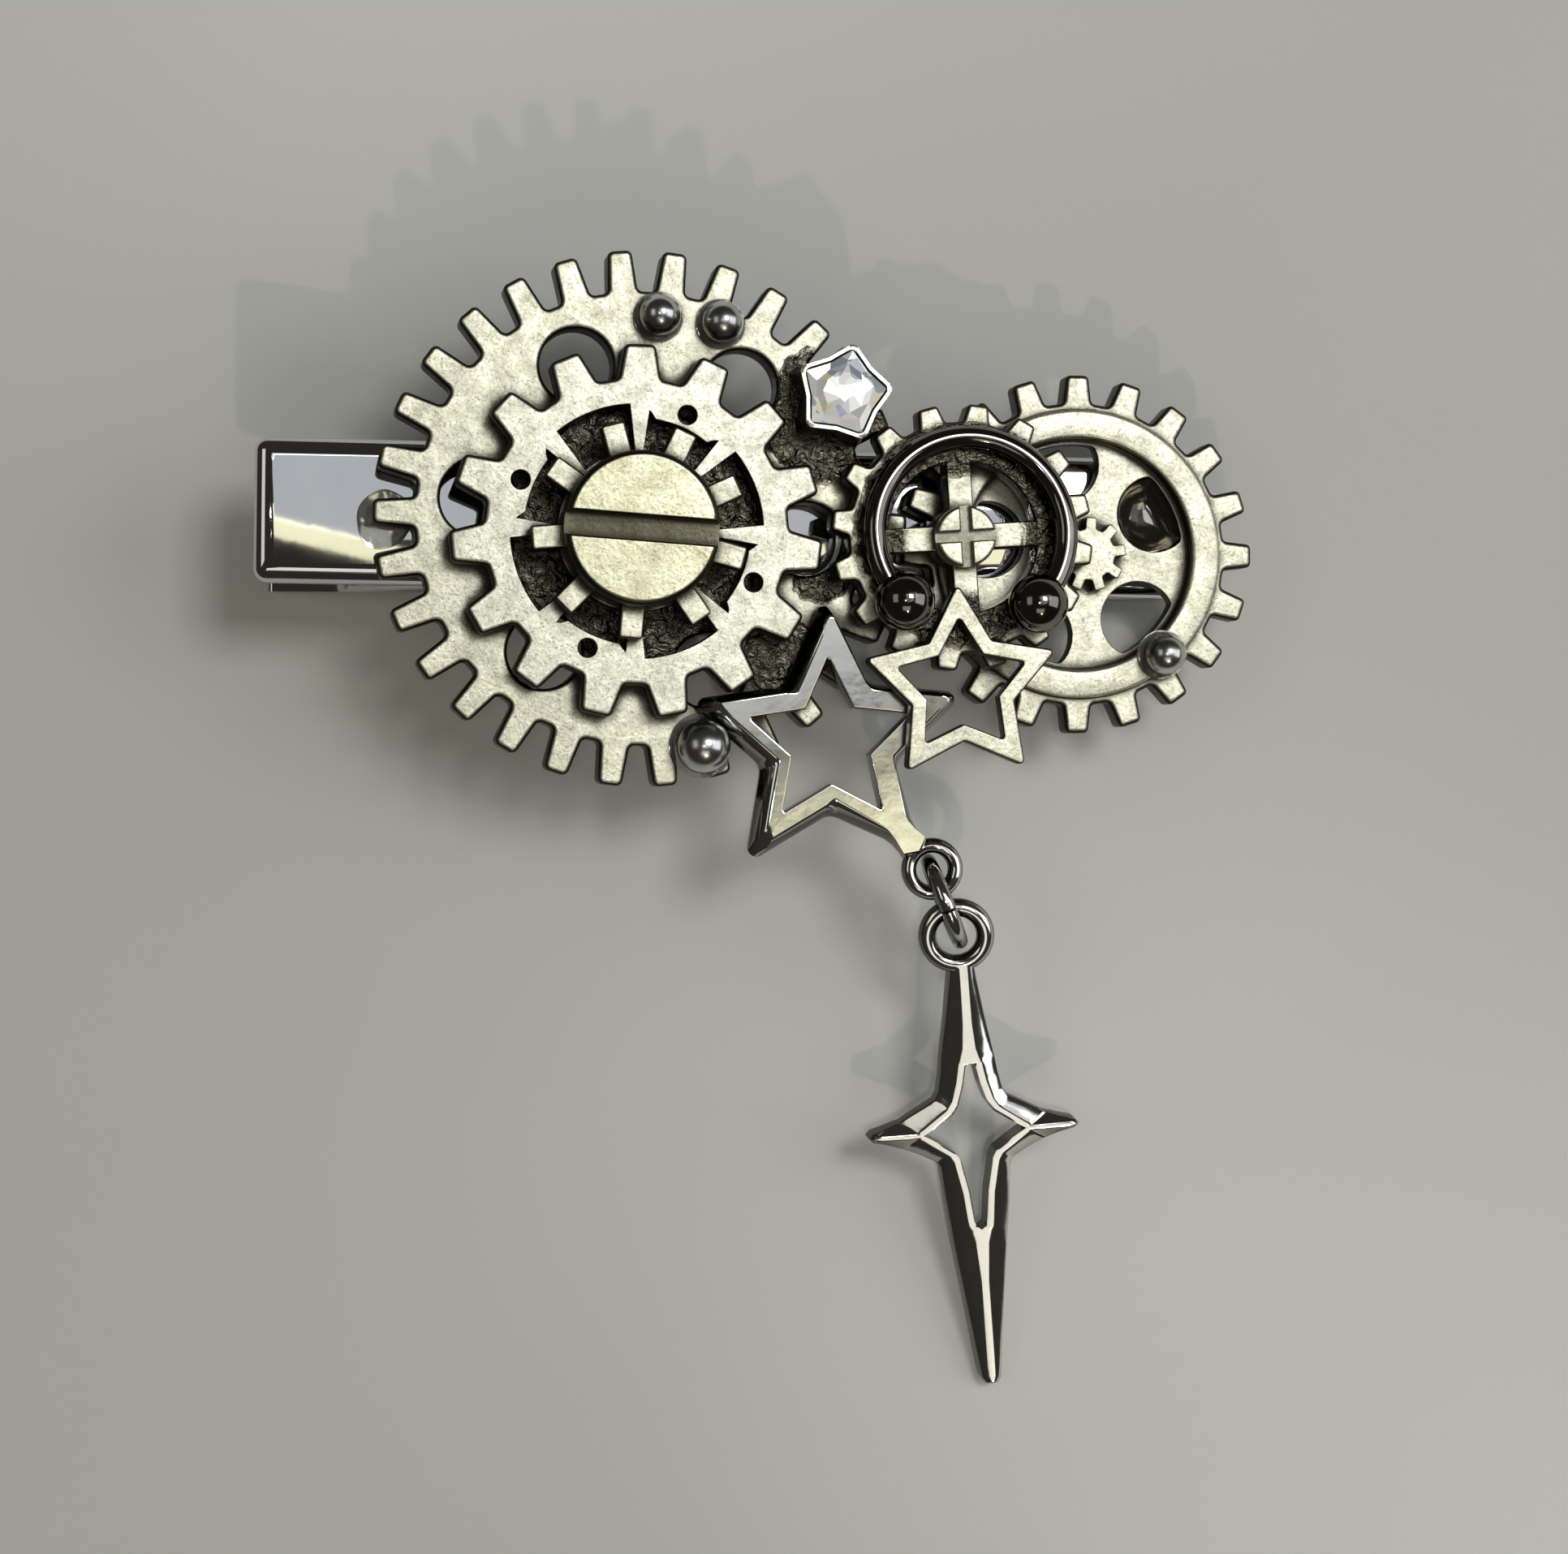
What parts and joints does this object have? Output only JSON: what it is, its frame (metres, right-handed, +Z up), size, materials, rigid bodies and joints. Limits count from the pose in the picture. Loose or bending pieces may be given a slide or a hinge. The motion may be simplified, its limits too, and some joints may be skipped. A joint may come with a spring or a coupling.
{
  "type": "hair clip",
  "caption": "Sprung metal hair clip topped with cast gears, a slotted screw head, open stars, a star stone, small balls and a long pointed star drop.",
  "frame": {"origin": "on the table, under the middle of the whole clip", "axes": "+X from the clip's tail to its nose, +Y away from the hanging drop, +Z up from the table"},
  "size_m": [0.0484, 0.0548, 0.0137],
  "materials": {
    "clip_metal": "mirror plated steel",
    "spring_steel": "plain spring steel",
    "cast_metal": "antique silver casting",
    "polished_metal": "polished",
    "dark_steel": "dark polished steel",
    "clear_stone": "faceted, clear",
    "clear_glue": "clear set glue"
  },
  "bodies": {
    "clip": {"clip_plate": "clip_metal", "hinge_pin": "clip_metal", "clip_spring": "spring_steel", "gear_rim": "cast_metal", "gear_wheel": "cast_metal", "gear_pinion": "cast_metal", "slot_screw": "cast_metal", "gear_side": "cast_metal", "cross_screw": "cast_metal", "horseshoe_ring": "dark_steel", "horseshoe_ball_left": "dark_steel", "horseshoe_ball_right": "dark_steel", "gear_right": "cast_metal", "right_pinion": "cast_metal", "star_setting": "polished_metal", "star_stone": "clear_stone", "star_charm": "polished_metal", "star_flat": "cast_metal", "jump_ring": "dark_steel", "pendant": "polished_metal", "bead_1": "dark_steel", "bead_2": "dark_steel", "bead_3": "dark_steel", "bead_4": "dark_steel", "glue_plate": "clear_glue", "glue_window": "clear_glue"},
    "jaw": {"clip_jaw": "clip_metal"}
  },
  "joints": [
    {"name": "clip_hinge", "type": "hinge", "parent": "clip", "child": "jaw", "pos_m": [-0.00402, 0.01493, 0.00447], "axis": [0, 1, 0], "range_deg": [0, 18], "stiffness_Nm_per_rad": 0.02, "springref_deg": -45.84, "deforming": ["clip_spring"]}
  ]
}
